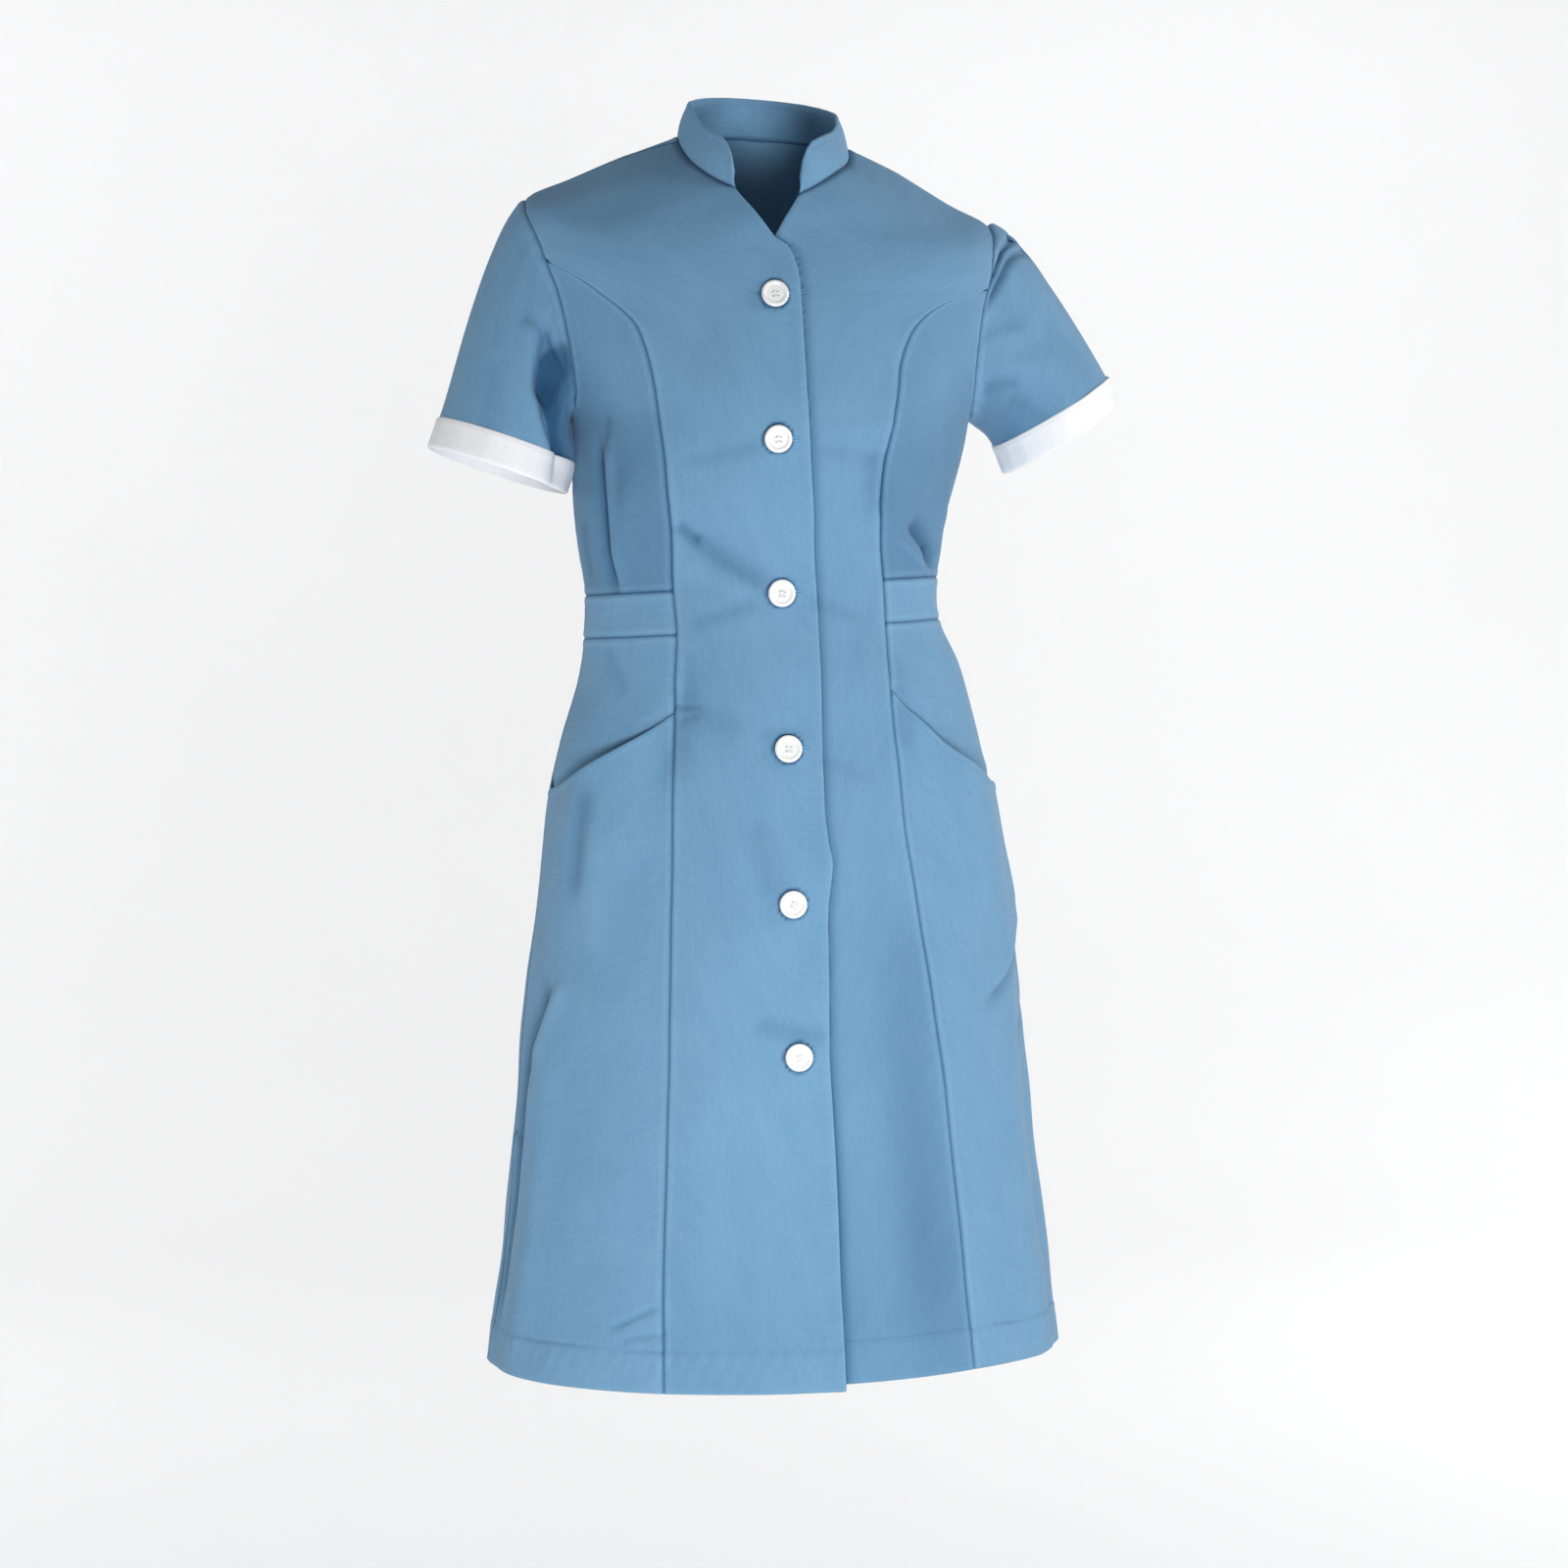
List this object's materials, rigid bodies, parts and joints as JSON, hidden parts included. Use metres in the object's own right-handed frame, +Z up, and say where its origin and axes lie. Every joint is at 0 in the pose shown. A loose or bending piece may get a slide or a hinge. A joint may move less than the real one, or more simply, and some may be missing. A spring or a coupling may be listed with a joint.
{
  "type": "nurse uniform dress",
  "caption": "Knee-length button-front uniform dress with stand collar, V opening, short sleeves with white cuffs, side waistbands and scooped hip pockets, in worn shape and empty.",
  "frame": {"origin": "middle of the shoulder line, where the wearer's shoulders hold the dress", "axes": "+Z up towards the collar, front towards -Y, the wearer's left towards +X"},
  "size_m": [0.5523, 0.3393, 1.0039],
  "materials": {
    "blue_cloth": "matt plain-woven polyester and cotton with a faint slub",
    "white_cloth": "matt plain-woven white cotton",
    "button_plastic": "soft gloss white resin"
  },
  "bodies": {
    "root": {"front_right": "blue_cloth", "front_left": "blue_cloth", "side_bodice_right": "blue_cloth", "side_bodice_left": "blue_cloth", "waistband_right": "blue_cloth", "waistband_left": "blue_cloth", "pocket_yoke_right": "blue_cloth", "pocket_yoke_left": "blue_cloth", "side_skirt_right": "blue_cloth", "side_skirt_left": "blue_cloth", "back_bodice": "blue_cloth", "back_waistband": "blue_cloth", "back_skirt": "blue_cloth", "sleeve_right": "blue_cloth", "sleeve_left": "blue_cloth", "cuff_right": "white_cloth", "cuff_left": "white_cloth", "collar": "blue_cloth", "button_1": "button_plastic", "button_2": "button_plastic", "button_3": "button_plastic", "button_4": "button_plastic", "button_5": "button_plastic", "button_6": "button_plastic"}
  },
  "joints": []
}
